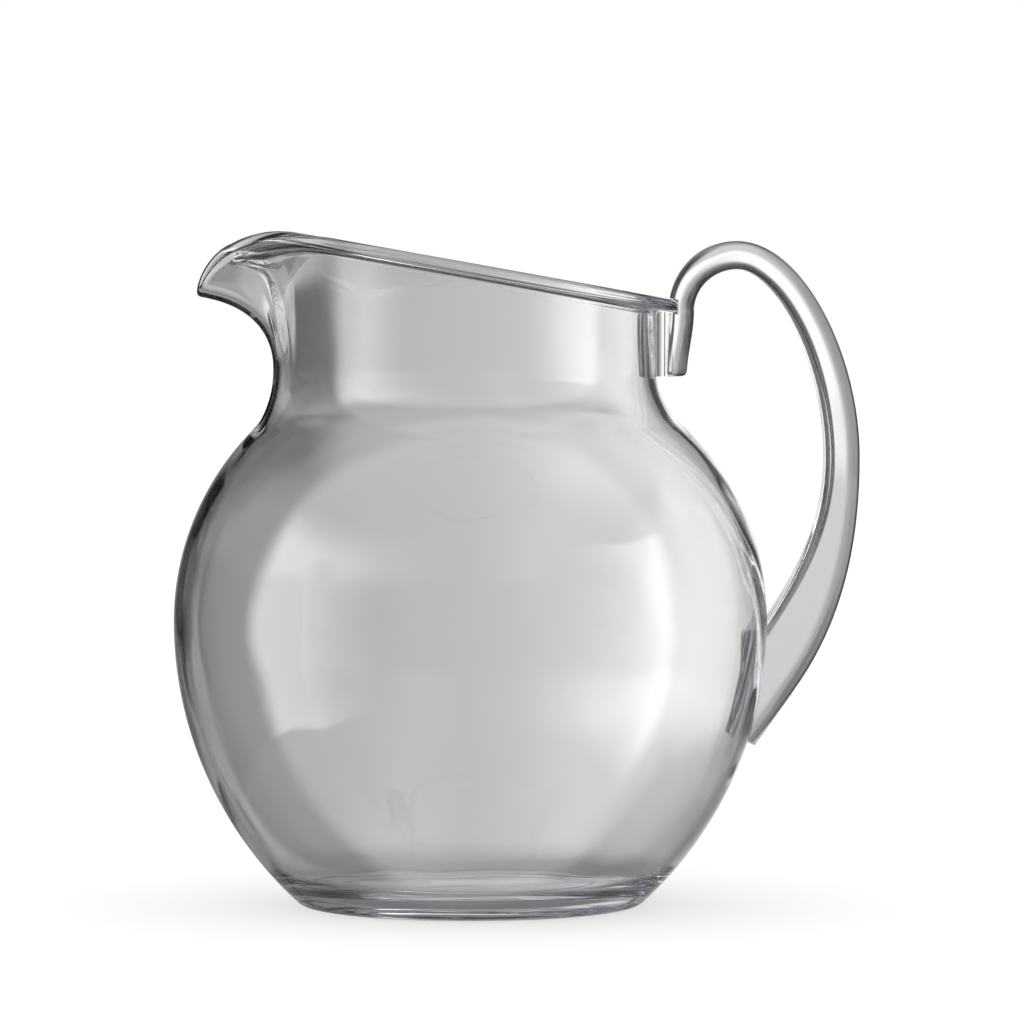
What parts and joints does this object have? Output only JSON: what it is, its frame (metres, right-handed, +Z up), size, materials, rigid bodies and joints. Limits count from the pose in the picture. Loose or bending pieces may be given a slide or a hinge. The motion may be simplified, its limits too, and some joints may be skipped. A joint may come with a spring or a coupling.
{
  "type": "beer pitcher",
  "caption": "Clear plastic pitcher with a ball-shaped body, a wide neck with a slanted lip and pulled spout, and a looped handle glued to neck and belly.",
  "frame": {"origin": "on the vessel's axis, on the plane that the foot stands on", "axes": "+Z up, +X towards the handle, -X towards the spout"},
  "size_m": [0.2143, 0.184, 0.2085],
  "materials": {
    "vessel_acrylic": "polished clear acrylic",
    "handle_acrylic": "polished clear acrylic",
    "adhesive": "clear cured adhesive"
  },
  "bodies": {
    "root": {"vessel": "vessel_acrylic", "handle": "handle_acrylic", "upper_bond": "adhesive", "lower_bond": "adhesive"}
  },
  "joints": []
}
